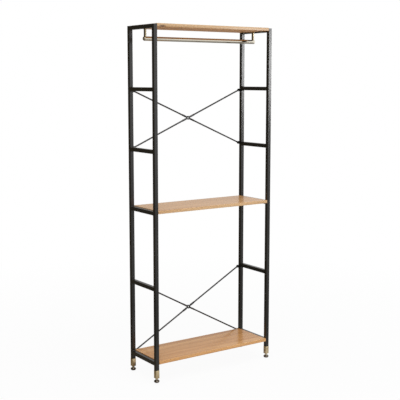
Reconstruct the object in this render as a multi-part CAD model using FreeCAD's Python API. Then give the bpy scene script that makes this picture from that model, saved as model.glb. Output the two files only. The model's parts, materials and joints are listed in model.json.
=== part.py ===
import FreeCAD, Part
import math
import os

# Open frame wardrobe, in millimetres.
# Origin on the floor at the middle of the footprint, +X to the right, +Y to the back, +Z up.

# Overall frame
frame_height = 1800.0
frame_width = 735.0
frame_depth = 256.0

# Square tube of the posts and rungs
tube_side = 20.0
tube_wall = 1.2
tube_corner = 1.5

# Rungs: the bottom and middle ones carry shelves, the rest divide the two bays evenly
bottom_rung_z = 97.5
middle_rung_z = 870.5
lower_bays = 2
upper_bays = 3

# Caps in the tops of the posts
cap_thickness = 2.0
cap_plug = 10.0

# Shelves
shelf_thickness = 16.0
shelf_proud = 3.0
shelf_end_gap = 0.5
shelf_back_gap = 1.5
shelf_edge = 0.8

# Tabs on the rungs, under each shelf
tab_thickness = 3.0
tab_reach = 22.0
tab_width = 24.0
tab_spread = 150.0
tab_corner = 4.0
tab_screw_reach = 12.0

# Wood screws under the shelves
screw_shank = 4.0
screw_length = 12.0
screw_head = 8.0
screw_head_height = 2.4
screw_head_round = 1.2
screw_hole_gap = 0.25

# Hanging rail, its legs and their plates
rail_diameter = 22.0
rail_wall = 1.5
rail_gap = 42.5
rail_overhang = 10.5
rail_cap_round = 7.0
rail_cap_straight = 1.0
rail_cap_plug = 12.0
leg_diameter = 13.0
leg_wall = 1.5
plate_length = 40.0
plate_width = 14.0
plate_thickness = 3.0
plate_corner = 6.5
plate_screw_spread = 27.0
plate_side_gap = 1.0

# Crossed braces in the back plane
rod_diameter = 8.0
rod_tip_diameter = 4.0
eye_diameter = 16.0
eye_thickness = 3.0
eye_neck = 10.0
lug_thickness = 3.0
lug_diameter = 16.0
lug_reach = 9.0
lug_drop = 9.0
lug_rise = 6.0
bolt_diameter = 5.0
bolt_head = 9.0
bolt_head_height = 2.5
bolt_head_round = 1.5
ring_diameter = 20.0
ring_hole = 10.0
ring_thickness = 8.0
rod_tip_setback = 1.0
rod_shoulder_gap = 0.5
brace_nut_wall = 1.15
brace_nut_length = 28.0
brace_nut_gap = 4.0

# Levelling feet
sleeve_wall = 0.75
sleeve_height = 41.0
sleeve_floor = 2.0
sleeve_hole_gap = 0.6
insert_height = 25.0
stud_diameter = 8.0
foot_travel = 12.0
thread_engagement = 11.0
lock_nut_across = 13.0
lock_nut_height = 4.5
hex_across = 11.0
hex_height = 5.3
hex_gap = 0.2
pad_diameter = 28.0
pad_base_diameter = 22.0
pad_top_diameter = 14.5
pad_height = 13.0
pad_rim_height = 7.5
pad_rim_bulge = 1.0
pad_crown_bulge = 1.6
neck_diameter = 7.0
socket_depth = 7.5

# Radial gap of every close fit
fit = 0.05

# Levels and planes that several pieces share
half_width = frame_width / 2.0
half_depth = frame_depth / 2.0
post_x = half_width - tube_side / 2.0
post_y = half_depth - tube_side / 2.0
inner_x = half_width - tube_side
tube_bore = tube_side - 2.0 * tube_wall
tube_bore_corner = max(tube_corner - tube_wall, tube_corner / 8.0)
top_rung_z = frame_height - tube_side / 2.0
lower_pitch = (middle_rung_z - bottom_rung_z) / lower_bays
upper_pitch = (top_rung_z - middle_rung_z) / upper_bays
shelf_lift = tube_side / 2.0 + shelf_proud
brace_y = half_depth - bolt_head_height - eye_thickness / 2.0
eye_x = inner_x - lug_reach
lug_back_y = brace_y - eye_thickness / 2.0
shelf_back_y = lug_back_y - lug_thickness - shelf_back_gap
top_underside_z = top_rung_z + shelf_lift - shelf_thickness
leg_x = inner_x - plate_side_gap - max(plate_width, leg_diameter) / 2.0
rail_cap_length = rail_cap_straight + rail_cap_round
rail_end_x = leg_x + rail_overhang
rail_z = top_underside_z - rail_gap - rail_diameter / 2.0
hex_bottom_z = pad_height + hex_gap
lock_nut_z = hex_bottom_z + hex_height
sleeve_z = lock_nut_z + lock_nut_height
post_bottom_z = sleeve_z + sleeve_floor

AXIS_X = FreeCAD.Vector(1, 0, 0)
AXIS_Y = FreeCAD.Vector(0, 1, 0)
AXIS_Z = FreeCAD.Vector(0, 0, 1)
ORIGIN = FreeCAD.Vector(0, 0, 0)
SIDES = {"left": -1, "right": 1}
FACES = {"front": -1, "back": 1}


def point(x, y, z):
    return FreeCAD.Vector(x, y, z)


def edges_along(solid, axis):
    """Straight edges of a box that run along an axis."""
    return [edge for edge in solid.Edges if abs(edge.tangentAt(0).dot(axis)) > 0.999]


def rim_at(solid, z):
    """Round edges of an upright disc at one height."""
    return [edge for edge in solid.Edges if abs(edge.BoundBox.Center.z - z) < 0.01]


def rounded_bar(size_x, size_y, height, corner):
    """Upright bar on the origin with rounded upright edges."""
    bar = Part.makeBox(size_x, size_y, height, point(-size_x / 2.0, -size_y / 2.0, 0))
    return bar.makeFillet(corner, edges_along(bar, AXIS_Z))


def square_tube(length):
    """Upright length of the frame's tube."""
    outside = rounded_bar(tube_side, tube_side, length, tube_corner)
    return outside.cut(rounded_bar(tube_bore, tube_bore, length, tube_bore_corner))


def hex_bar(across, height):
    """Upright hexagon bar, across its flats."""
    radius = across / math.sqrt(3.0)
    corners = []
    for step in range(7):
        angle = math.radians(60.0 * step)
        corners.append(point(radius * math.cos(angle), radius * math.sin(angle), 0))
    return Part.Face(Part.makePolygon(corners)).extrude(point(0, 0, height))


def moved(solid, x, y, z):
    copy = solid.copy()
    copy.translate(point(x, y, z))
    return copy


def export(node, solids):
    """Write one node, alone or as a group of separate solids."""
    shape = solids[0] if len(solids) == 1 else Part.makeCompound(solids)
    valid = all(solid.isValid() and len(solid.Solids) == 1 for solid in solids)
    print(node, len(solids), "solids", round(shape.Volume, 1), "mm3", "valid" if valid else "BAD")
    shape.exportStep("parts/" + node + ".step")


# Posts, their caps and the rungs

def make_post():
    return moved(square_tube(frame_height - cap_thickness - post_bottom_z), 0, 0, post_bottom_z)


def make_post_cap():
    plate = rounded_bar(tube_side, tube_side, cap_thickness, tube_corner)
    plug_side = tube_bore - 2.0 * fit
    plug = moved(rounded_bar(plug_side, plug_side, cap_plug, tube_bore_corner), 0, 0, -cap_plug)
    return moved(plate.fuse(plug).removeSplitter(), 0, 0, frame_height - cap_thickness)


def make_rung():
    length = frame_depth - 2.0 * tube_side
    rung = square_tube(length)
    rung.rotate(ORIGIN, AXIS_X, -90)
    return moved(rung, 0, -length / 2.0, 0)


def rung_levels():
    """Heights of the rungs' middles, from the floor up."""
    heights = [bottom_rung_z + step * lower_pitch for step in range(lower_bays)]
    heights += [middle_rung_z + step * upper_pitch for step in range(upper_bays + 1)]
    return heights


# Shelves, the tabs that carry them and their screws

def screw_places(shelf):
    """Where the wood screws of a shelf stand, with the plate under each one."""
    places = []
    for side in SIDES.values():
        for face in FACES.values():
            tab_x = side * (inner_x - tab_screw_reach)
            places.append((tab_x, face * tab_spread / 2.0, tab_thickness))
            if shelf == "top":
                places.append((side * leg_x, face * plate_screw_spread / 2.0, plate_thickness))
    return places


def make_shelf(rung_z, shelf):
    top_z = rung_z + shelf_lift
    length = 2.0 * (inner_x - shelf_end_gap)
    depth = half_depth + shelf_back_y
    corner = point(-length / 2.0, -half_depth, top_z - shelf_thickness)
    board = Part.makeBox(length, depth, shelf_thickness, corner)
    board = board.makeFillet(shelf_edge, edges_along(board, AXIS_X))
    for x, y, plate in screw_places(shelf):
        pilot_depth = screw_length - plate + fit
        pilot = Part.makeCylinder(screw_shank / 2.0 + fit, pilot_depth)
        board = board.cut(moved(pilot, x, y, top_z - shelf_thickness))
    return board


def make_tab(side, face, rung_z):
    """Flat tab that stands out from a rung's inner face under the shelf."""
    tab = rounded_bar(tab_reach + tab_corner, tab_width, tab_thickness, tab_corner)
    tab = moved(tab, -side * (tab_reach - tab_corner) / 2.0, 0, 0)
    weld_side = Part.makeBox(tab_reach, tab_width, tab_thickness,
                             point(-tab_reach / 2.0, -tab_width / 2.0, 0))
    tab = tab.common(moved(weld_side, -side * tab_reach / 2.0, 0, 0))
    hole = Part.makeCylinder(screw_shank / 2.0 + screw_hole_gap, tab_thickness)
    tab = tab.cut(moved(hole, -side * tab_screw_reach, 0, 0))
    underside = rung_z + shelf_lift - shelf_thickness
    return moved(tab, side * inner_x, face * tab_spread / 2.0, underside - tab_thickness)


def make_screw(x, y, plate_underside):
    shank = Part.makeCylinder(screw_shank / 2.0, screw_length)
    head = Part.makeCylinder(screw_head / 2.0, screw_head_height)
    head = head.makeFillet(screw_head_round, rim_at(head, 0))
    screw = shank.fuse(moved(head, 0, 0, -screw_head_height)).removeSplitter()
    return moved(screw, x, y, plate_underside)


# Hanging rail

def rail_tube(radius, length):
    """Solid round bar along X, centred on the rail's axis."""
    return Part.makeCylinder(radius, length, point(-length / 2.0, 0, rail_z), AXIS_X)


def make_rail():
    length = 2.0 * (rail_end_x - rail_cap_length)
    radius = rail_diameter / 2.0
    return rail_tube(radius, length).cut(rail_tube(radius - rail_wall, length))


def make_rail_cap(side):
    """Round-nosed end of the rail, with a plug inside the tube."""
    radius = rail_diameter / 2.0
    nose = Part.makeCylinder(radius, rail_cap_length)
    nose = nose.makeFillet(rail_cap_round, rim_at(nose, rail_cap_length))
    plug = Part.makeCylinder(radius - rail_wall - fit, rail_cap_plug)
    cap = nose.fuse(moved(plug, 0, 0, -rail_cap_plug)).removeSplitter()
    cap.rotate(ORIGIN, AXIS_Y, side * 90)
    return moved(cap, side * (rail_end_x - rail_cap_length), 0, rail_z)


def make_rail_leg(side):
    """Short tube from the plate down on to the rail, shaped to sit on it."""
    height = top_underside_z - plate_thickness - rail_z
    leg = Part.makeCylinder(leg_diameter / 2.0, height)
    leg = leg.cut(Part.makeCylinder(leg_diameter / 2.0 - leg_wall, height))
    return moved(leg, side * leg_x, 0, rail_z).cut(rail_tube(rail_diameter / 2.0, frame_width))


def make_rail_plate(side):
    corner = min(plate_corner, 0.48 * plate_width)
    plate = rounded_bar(plate_width, plate_length, plate_thickness, corner)
    for face in FACES.values():
        hole = Part.makeCylinder(screw_shank / 2.0 + screw_hole_gap, plate_thickness)
        plate = plate.cut(moved(hole, 0, face * plate_screw_spread / 2.0, 0))
    return moved(plate, side * leg_x, 0, top_underside_z - plate_thickness)


# Crossed braces

def disc(radius, thickness, x, y, z):
    """Round plate that faces along Y, from y towards the back."""
    return Part.makeCylinder(radius, thickness, point(x, y, z), AXIS_Y)


def brace_ends(low_rung_z, high_rung_z):
    """Eye middles of one cross: side, height word, x and z."""
    ends = []
    for side_name, side in SIDES.items():
        ends.append((side_name + "_top", side, side * eye_x, high_rung_z - lug_drop))
        ends.append((side_name + "_bottom", side, side * eye_x, low_rung_z + lug_rise))
    return ends


def brace_middle(low_rung_z, high_rung_z):
    return point(0, brace_y, (high_rung_z - lug_drop + low_rung_z + lug_rise) / 2.0)


def make_rod(middle, eye):
    """Round rod from the ring to a flattened eye at the post."""
    direction = (eye - middle).normalize()
    length = (eye - middle).Length
    tip_start = ring_hole / 2.0 + rod_tip_setback
    shoulder = ring_diameter / 2.0 + rod_shoulder_gap
    tip = Part.makeCylinder(rod_tip_diameter / 2.0, shoulder - tip_start,
                            middle + direction * tip_start, direction)
    shank = Part.makeCylinder(rod_diameter / 2.0, length - eye_neck - shoulder,
                              middle + direction * shoulder, direction)
    neck = Part.makeBox(rod_diameter, eye_thickness, eye_neck + eye_thickness / 2.0,
                        point(-rod_diameter / 2.0, -eye_thickness / 2.0, 0))
    neck.rotate(ORIGIN, AXIS_Y, math.degrees(math.atan2(-direction.x, -direction.z)))
    neck = moved(neck, eye.x, eye.y, eye.z)
    flat_y = eye.y - eye_thickness / 2.0
    eye_plate = disc(eye_diameter / 2.0, eye_thickness, eye.x, flat_y, eye.z)
    hole = disc(bolt_diameter / 2.0 + fit, eye_thickness, eye.x, flat_y, eye.z)
    rod = tip.fuse([shank, neck, eye_plate]).removeSplitter()
    return rod.cut(hole)


def make_brace_nut(middle, eye):
    """Long tension nut on a rod, next to the ring."""
    direction = (eye - middle).normalize()
    start = middle + direction * (ring_diameter / 2.0 + brace_nut_gap)
    bore = rod_diameter / 2.0 + fit
    outside = Part.makeCylinder(bore + brace_nut_wall, brace_nut_length, start, direction)
    return outside.cut(Part.makeCylinder(bore, brace_nut_length, start, direction))


def make_ring(middle, eyes):
    front_y = middle.y - ring_thickness / 2.0
    ring = disc(ring_diameter / 2.0, ring_thickness, middle.x, front_y, middle.z)
    ring = ring.cut(disc(ring_hole / 2.0, ring_thickness, middle.x, front_y, middle.z))
    for eye in eyes:
        direction = (eye - middle).normalize()
        hole = Part.makeCylinder(rod_tip_diameter / 2.0 + fit, ring_diameter / 2.0, middle, direction)
        ring = ring.cut(hole)
    return ring


def make_lug(side, eye):
    """Plate welded to a back post's inner face, in front of the rod's eye."""
    front_y = lug_back_y - lug_thickness
    root = Part.makeBox(lug_reach, lug_thickness, lug_diameter,
                        point(-lug_reach / 2.0, front_y, eye.z - lug_diameter / 2.0))
    root = moved(root, side * (inner_x - lug_reach / 2.0), 0, 0)
    lug = root.fuse(disc(lug_diameter / 2.0, lug_thickness, eye.x, front_y, eye.z)).removeSplitter()
    return lug.cut(disc(bolt_diameter / 2.0 + fit, lug_thickness, eye.x, front_y, eye.z))


def make_bolt(eye):
    """Button-headed bolt from the back, through the eye into the lug."""
    shank_length = lug_thickness + eye_thickness
    shank = disc(bolt_diameter / 2.0, shank_length, eye.x, lug_back_y - lug_thickness, eye.z)
    seat_y = lug_back_y + eye_thickness
    head = Part.makeCylinder(bolt_head / 2.0, bolt_head_height)
    head = head.makeFillet(bolt_head_round, rim_at(head, bolt_head_height))
    head.rotate(ORIGIN, AXIS_X, -90)
    return shank.fuse(moved(head, eye.x, seat_y, eye.z)).removeSplitter()


# Levelling feet, each on the upright axis of its post

def make_foot_sleeve():
    inside = tube_side + 2.0 * fit
    outside = inside + 2.0 * sleeve_wall
    sleeve = rounded_bar(outside, outside, sleeve_height, tube_corner + sleeve_wall)
    room = rounded_bar(inside, inside, sleeve_height, tube_corner)
    sleeve = sleeve.cut(moved(room, 0, 0, sleeve_floor))
    hole = Part.makeCylinder(stud_diameter / 2.0 + sleeve_hole_gap, sleeve_floor)
    return moved(sleeve.cut(hole), 0, 0, sleeve_z)


def make_foot_insert():
    side = tube_bore - 2.0 * fit
    plug = rounded_bar(side, side, insert_height, tube_bore_corner)
    plug = plug.cut(Part.makeCylinder(stud_diameter / 2.0 + fit, insert_height))
    return moved(plug, 0, 0, post_bottom_z)


def make_lock_nut():
    nut = hex_bar(lock_nut_across, lock_nut_height)
    nut = nut.cut(Part.makeCylinder(stud_diameter / 2.0 + fit, lock_nut_height))
    return moved(nut, 0, 0, lock_nut_z)


def make_foot_stud():
    """Threaded rod with a hexagon to turn it by and a neck that turns in the pad."""
    neck_z = pad_height - socket_depth
    neck = Part.makeCylinder(neck_diameter / 2.0, hex_bottom_z - neck_z, point(0, 0, neck_z))
    hexagon = moved(hex_bar(hex_across, hex_height), 0, 0, hex_bottom_z)
    rod_height = post_bottom_z + foot_travel + thread_engagement - lock_nut_z
    rod = Part.makeCylinder(stud_diameter / 2.0, rod_height, point(0, 0, lock_nut_z))
    return neck.fuse([hexagon, rod]).removeSplitter()


def bulged(start, end, bulge):
    """Arc in the XZ plane whose middle stands out to the right of its chord."""
    chord = end - start
    outward = point(chord.z, 0, -chord.x).normalize()
    return Part.Arc(start, (start + end) * 0.5 + outward * bulge, end).toShape()


def make_foot_pad():
    """Domed foot: a flat base, a round rim and a crown with a socket for the stud."""
    base = point(pad_base_diameter / 2.0, 0, 0)
    rim = point(pad_diameter / 2.0, 0, pad_rim_height)
    top = point(pad_top_diameter / 2.0, 0, pad_height)
    peak = point(0, 0, pad_height)
    outline = Part.Wire([
        Part.LineSegment(ORIGIN, base).toShape(),
        bulged(base, rim, pad_rim_bulge),
        bulged(rim, top, pad_crown_bulge),
        Part.LineSegment(top, peak).toShape(),
        Part.LineSegment(peak, ORIGIN).toShape(),
    ])
    pad = Part.Face(outline).revolve(ORIGIN, AXIS_Z, 360)
    socket = Part.makeCylinder(neck_diameter / 2.0 + fit, socket_depth,
                               point(0, 0, pad_height - socket_depth))
    return pad.cut(socket)


def build_frame(levels):
    caps = []
    for side_name, side in SIDES.items():
        for face_name, face in FACES.items():
            x, y = side * post_x, face * post_y
            export(face_name + "_" + side_name + "_post", [moved(make_post(), x, y, 0)])
            caps.append(moved(make_post_cap(), x, y, 0))
        for number, z in enumerate(levels, start=1):
            export(side_name + "_rung_" + str(number), [moved(make_rung(), side * post_x, 0, z)])
    export("post_caps", caps)


def build_shelves():
    screws = []
    for shelf, rung_z in (("bottom", bottom_rung_z), ("middle", middle_rung_z), ("top", top_rung_z)):
        underside = rung_z + shelf_lift - shelf_thickness
        export(shelf + "_shelf", [make_shelf(rung_z, shelf)])
        tabs = [make_tab(side, face, rung_z) for side in SIDES.values() for face in FACES.values()]
        export(shelf + "_shelf_tabs", tabs)
        screws += [make_screw(x, y, underside - plate) for x, y, plate in screw_places(shelf)]
    export("wood_screws", screws)


def build_rail():
    export("hanging_rail", [make_rail()])
    export("rail_end_caps", [make_rail_cap(side) for side in SIDES.values()])
    for side_name, side in SIDES.items():
        export(side_name + "_rail_leg", [make_rail_leg(side)])
        export(side_name + "_rail_plate", [make_rail_plate(side)])


def build_braces(levels):
    bolts = []
    for cross, low_rung in (("lower", 0), ("upper", lower_bays + 1)):
        low_z, high_z = levels[low_rung], levels[low_rung + 1]
        middle = brace_middle(low_z, high_z)
        ends = [(name, side, point(x, brace_y, z)) for name, side, x, z in brace_ends(low_z, high_z)]
        for name, side, eye in ends:
            export(cross + "_brace_rod_" + name, [make_rod(middle, eye)])
        export(cross + "_brace_ring", [make_ring(middle, [eye for name, side, eye in ends])])
        export(cross + "_brace_nuts", [make_brace_nut(middle, eye) for name, side, eye in ends])
        export(cross + "_brace_lugs", [make_lug(side, eye) for name, side, eye in ends])
        bolts += [make_bolt(eye) for name, side, eye in ends]
    export("brace_bolts", bolts)


def build_feet():
    inserts = []
    lock_nuts = []
    for side_name, side in SIDES.items():
        for face_name, face in FACES.items():
            x, y = side * post_x, face * post_y
            corner = face_name + "_" + side_name
            export(corner + "_foot_sleeve", [moved(make_foot_sleeve(), x, y, 0)])
            export(corner + "_foot_stud", [moved(make_foot_stud(), x, y, 0)])
            export(corner + "_foot_pad", [moved(make_foot_pad(), x, y, 0)])
            inserts.append(moved(make_foot_insert(), x, y, 0))
            lock_nuts.append(moved(make_lock_nut(), x, y, 0))
    export("foot_inserts", inserts)
    export("foot_lock_nuts", lock_nuts)


os.makedirs("parts", exist_ok=True)
rungs = rung_levels()
build_frame(rungs)
build_shelves()
build_rail()
build_braces(rungs)
build_feet()
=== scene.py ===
# %% [markdown]
# # An open frame wardrobe, dressed cell by cell
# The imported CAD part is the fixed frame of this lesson. It brings 59 named nodes: square
# tubes, shelves, a hanging rail, crossed braces and levelling feet. Each one already lies in
# its place, in metres. We keep the nodes whose shape is right and give them a real finish.
# The pieces that want finer detail are modelled again over their CAD nodes.

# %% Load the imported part
import json
import math

import bmesh
import bpy
from mathutils import Matrix, Vector
from mathutils.geometry import interpolate_bezier


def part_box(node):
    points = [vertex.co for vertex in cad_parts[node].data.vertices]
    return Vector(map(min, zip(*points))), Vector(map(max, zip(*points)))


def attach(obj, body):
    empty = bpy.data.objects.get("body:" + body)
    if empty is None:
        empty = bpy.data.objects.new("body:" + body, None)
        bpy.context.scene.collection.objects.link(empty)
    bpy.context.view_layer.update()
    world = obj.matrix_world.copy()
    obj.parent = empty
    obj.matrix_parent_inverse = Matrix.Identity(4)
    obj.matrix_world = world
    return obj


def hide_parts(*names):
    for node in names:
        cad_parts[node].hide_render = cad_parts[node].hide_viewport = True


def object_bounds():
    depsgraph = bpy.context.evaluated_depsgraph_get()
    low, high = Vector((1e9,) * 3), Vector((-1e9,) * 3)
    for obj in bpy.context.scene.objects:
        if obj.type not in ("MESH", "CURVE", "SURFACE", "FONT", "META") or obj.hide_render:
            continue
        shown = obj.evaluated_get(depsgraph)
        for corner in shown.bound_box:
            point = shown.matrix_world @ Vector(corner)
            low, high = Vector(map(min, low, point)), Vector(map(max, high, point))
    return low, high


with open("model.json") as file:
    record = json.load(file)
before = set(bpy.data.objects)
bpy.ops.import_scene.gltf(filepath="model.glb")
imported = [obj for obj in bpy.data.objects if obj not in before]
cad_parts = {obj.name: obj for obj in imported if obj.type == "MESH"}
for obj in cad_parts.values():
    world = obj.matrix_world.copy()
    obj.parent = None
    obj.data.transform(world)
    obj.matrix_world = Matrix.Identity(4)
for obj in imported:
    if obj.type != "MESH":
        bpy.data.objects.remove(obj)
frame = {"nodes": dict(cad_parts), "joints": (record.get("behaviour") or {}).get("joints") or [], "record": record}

nodes = frame["nodes"]
cad_box = [list(corner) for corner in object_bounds()]
print("CAD nodes:", len(nodes), "box:", cad_box)

# %% [markdown]
# ## The camera
# The picture was taken from the front left, a little below the top shelf. Its uprights are
# almost parallel, so the camera stood far back with a long lens. We could keep the uprights
# perfectly parallel with a large lens shift, but every other view of the object would inherit
# that shift. A slight downward tilt with a very small shift gives the same framing.

# %% Place the camera
camera_place = Vector((-2.592, -3.735, 1.527))
camera_heading = math.radians(34.68)
camera_tilt = math.radians(7.355)
camera_lens = 77.75
camera_sensor = 36
camera_shift = -0.02

bpy.ops.object.select_all(action="DESELECT")
bpy.ops.object.camera_add(location=camera_place,
                          rotation=(math.pi / 2 - camera_tilt, 0, -camera_heading))
camera = bpy.context.object
camera.name = "photo_camera"
camera.data.lens = camera_lens
camera.data.sensor_width = camera_sensor
camera.data.shift_y = camera_shift
bpy.context.scene.camera = camera
bpy.context.scene.view_settings.view_transform = "Standard"
print("camera at", tuple(camera_place), "lens", camera_lens)

# %% [markdown]
# ## The studio
# The object stands in a white studio. A lamp at the front right puts the grey sheen on the
# upper front faces of the right posts. A black satin tube shows its surroundings more than its
# own colour, so we place the lamp by what those faces mirror to the camera. A wide panel would
# do it too, but seen from behind the lacquered shelves would mirror it as a white glare. So we
# take a spot lamp with a large soft disc, whose narrow cone stays above the middle shelf. A bank
# under the ceiling lights the shelves from above. A bank in front only fills in, so mirrors
# skip it.

# %% Hang the soft spot
def add_lamp(kind, name, place, target):
    """A lamp that shines at a point. The camera does not see the lamp itself."""
    bpy.ops.object.select_all(action="DESELECT")
    bpy.ops.object.light_add(type=kind, location=place)
    lamp = bpy.context.object
    lamp.name = name
    lamp.rotation_euler = (Vector(target) - Vector(place)).to_track_quat("-Z", "Y").to_euler()
    lamp.visible_camera = False
    return lamp


spot_place = (3.42, -3.00, 1.74)
spot_target = (0.36, -0.12, 2.37)
spot_radius = 0.53
spot_radiance = 28
spot_cone = math.radians(36)

soft_spot = add_lamp("SPOT", "soft_spot", spot_place, spot_target)
soft_spot.data.shadow_soft_size = spot_radius
soft_spot.data.spot_size = spot_cone
soft_spot.data.spot_blend = 1.0
soft_spot.data.energy = 4 * math.pi ** 2 * spot_radiance * spot_radius ** 2
print("soft_spot power", round(soft_spot.data.energy, 1), "W")

# %% Hang the two banks
def add_bank(name, place, target, width, height, radiance):
    """A flat bank of light. Its power follows from how bright it looks."""
    bank = add_lamp("AREA", name, place, target)
    bank.data.shape = "RECTANGLE"
    bank.data.size = width
    bank.data.size_y = height
    bank.data.energy = math.pi * radiance * width * height
    print(name, "power", round(bank.data.energy, 1), "W")
    return bank


bank_target = (0, 0, 0.9)
add_bank("ceiling_bank", (-0.6, -1.8, 4.2), bank_target, width=3.0, height=3.0, radiance=4.7)
front_bank = add_bank("front_bank", (1.5, -4.2, 1.6), bank_target, width=3.5, height=2.5, radiance=1.75)
front_bank.visible_glossy = False

# %% [markdown]
# ## The background
# The background of the picture is plain white, but the left faces of its black tubes show a
# room that is dim and brownish on that side. A backdrop wall with a real dark half would show
# in the picture. So the Light Path node gives three answers: the camera sees white, mirrored
# rays see a room that brightens from the left to the right, and all other rays get an even
# grey light.

# %% Helpers for node networks
def add_node(tree, kind, place, **sockets):
    """Adds a shader node and sets its input sockets by name."""
    node = tree.nodes.new(kind)
    node.location = place
    for name, value in sockets.items():
        node.inputs[name.replace("_", " ")].default_value = value
    return node


def mix_colours(tree, place, share, first, second):
    """Mixes two colours. Each is a socket of another node or three numbers."""
    mix = add_node(tree, "ShaderNodeMix", place)
    mix.data_type = "RGBA"
    tree.links.new(share, mix.inputs["Factor"])
    for socket, colour in ((mix.inputs[6], first), (mix.inputs[7], second)):
        if isinstance(colour, bpy.types.NodeSocket):
            tree.links.new(colour, socket)
        else:
            socket.default_value = (*colour, 1)
    return mix.outputs[2]


bright_way = Vector((0.86, -0.5, 0)).normalized()


def add_side_fall(tree, place, coordinates, limits, dark, bright):
    """A colour that goes from dark to bright between two distances along the bright way."""
    start, end = limits
    along = add_node(tree, "ShaderNodeVectorMath", place)
    along.operation = "DOT_PRODUCT"
    along.inputs[1].default_value = bright_way
    fall = add_node(tree, "ShaderNodeMapRange", (place[0] + 200, place[1]), From_Min=start, From_Max=end)
    fall.interpolation_type = "SMOOTHSTEP"
    tree.links.new(coordinates, along.inputs[0])
    tree.links.new(along.outputs["Value"], fall.inputs["Value"])
    return mix_colours(tree, (place[0] + 400, place[1]), fall.outputs["Result"], dark, bright)


print("the studio brightens towards", tuple(bright_way))

# %% Make the world white for the camera
room_light = (0.45, 0.45, 0.45)
bright_side = (1.05, 1.05, 1.05)
dark_side = (0.13, 0.107, 0.07)
room_fall = (-0.6, 0.7)
white = (1, 1, 1)

world = bpy.data.worlds.new("white_studio")
bpy.context.scene.world = world
world.use_nodes = True
tree = world.node_tree
tree.nodes.clear()
path = add_node(tree, "ShaderNodeLightPath", (-800, 300))
place = add_node(tree, "ShaderNodeTexCoord", (-800, -100))
shiny = add_node(tree, "ShaderNodeMath", (-600, 300))
shiny.operation = "MAXIMUM"
tree.links.new(path.outputs["Is Glossy Ray"], shiny.inputs[0])
tree.links.new(path.outputs["Is Transmission Ray"], shiny.inputs[1])
mirrored = add_side_fall(tree, (-600, -100), place.outputs["Generated"], room_fall, dark_side, bright_side)
lit = mix_colours(tree, (0, 100), shiny.outputs["Value"], room_light, mirrored)
shown = mix_colours(tree, (200, 200), path.outputs["Is Camera Ray"], lit, white)
background = add_node(tree, "ShaderNodeBackground", (400, 0), Strength=1.0)
output = add_node(tree, "ShaderNodeOutputWorld", (600, 0))
tree.links.new(shown, background.inputs["Color"])
tree.links.new(background.outputs["Background"], output.inputs["Surface"])
print("made the world", world.name)

# %% [markdown]
# ## The floor
# The floor bounces light to the undersides of the shelves and keeps a soft shadow. A plain
# white plane would do that, but the tubes would mirror it as a bright band low down. So its
# paint asks the Light Path node too. In mirrored rays only, the floor is painted with a bright
# and a dark side like the room, and a ring of it is painted darker. This painted shade keeps
# the lower ends of the posts black in their reflections. The floor lies as far below the feet
# as they can be screwed out, so that it never cuts through them.

# %% Lay the floor
foot_travel = max(joint["range_m"][1] for joint in frame["joints"] if joint["type"] == "slide")
floor_radius = 8.0
floor_gap = 0.0005
floor_z = -foot_travel - floor_gap

bpy.ops.object.select_all(action="DESELECT")
bpy.ops.mesh.primitive_circle_add(vertices=96, radius=floor_radius, fill_type="NGON",
                                  location=(0, 0, floor_z))
floor = bpy.context.object
floor.name = "studio_floor"
print("floor at", floor_z)

# %% Mix the floor's colours
floor_white = (0.64, 0.64, 0.64)
floor_bright_side = (0.64, 0.63, 0.61)
# The dark side and the darker ring are painted shade that only mirrored rays see.
floor_painted_dark_side = (0.26, 0.22, 0.155)
floor_fall = (-0.5, 0.05)
black = (0, 0, 0)
painted_dark_ring_depth = 0.5
painted_ring_start = (0.55, 0.95)
painted_ring_end = (1.6, 3.0)

floor_paint = bpy.data.materials.new("studio_white")
floor_paint.use_nodes = True
tree = floor_paint.node_tree
tree.nodes.clear()
path = add_node(tree, "ShaderNodeLightPath", (-1200, 300))
place = add_node(tree, "ShaderNodeTexCoord", (-1200, 0))
mirrored = add_side_fall(tree, (-1000, -100), place.outputs["Object"], floor_fall,
                         floor_painted_dark_side, floor_bright_side)
distance = add_node(tree, "ShaderNodeVectorMath", (-1000, 200))
distance.operation = "LENGTH"
tree.links.new(place.outputs["Object"], distance.inputs[0])
# The ring is painted shade on the floor, seen only in mirrored rays.
painted_dark_ring = add_node(tree, "ShaderNodeMath", (-600, -300))
painted_dark_ring.operation = "SUBTRACT"
for socket, (start, end) in zip(painted_dark_ring.inputs, (painted_ring_start, painted_ring_end)):
    edge = add_node(tree, "ShaderNodeMapRange", (-800, -300), From_Min=start, From_Max=end,
                    To_Max=painted_dark_ring_depth)
    edge.interpolation_type = "SMOOTHSTEP"
    tree.links.new(distance.outputs["Value"], edge.inputs["Value"])
    tree.links.new(edge.outputs["Result"], socket)
mirrored = mix_colours(tree, (-400, -300), painted_dark_ring.outputs["Value"], mirrored, black)
shown = mix_colours(tree, (-400, 0), path.outputs["Is Glossy Ray"], floor_white, mirrored)
matt = add_node(tree, "ShaderNodeBsdfDiffuse", (-200, 0))
tree.links.new(shown, matt.inputs["Color"])
print("mixed the floor's colours")

# %% Let the floor fade to white
shadow_share = 0.05
shadow_fade = (0.8, 3.0)

fade = add_node(tree, "ShaderNodeMapRange", (-800, 200), From_Min=shadow_fade[0], From_Max=shadow_fade[1],
                To_Min=1 - shadow_share, To_Max=1.0)
white_share = add_node(tree, "ShaderNodeMath", (-600, 300))
white_share.operation = "MULTIPLY"
tree.links.new(distance.outputs["Value"], fade.inputs["Value"])
tree.links.new(path.outputs["Is Camera Ray"], white_share.inputs[0])
tree.links.new(fade.outputs["Result"], white_share.inputs[1])

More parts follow.
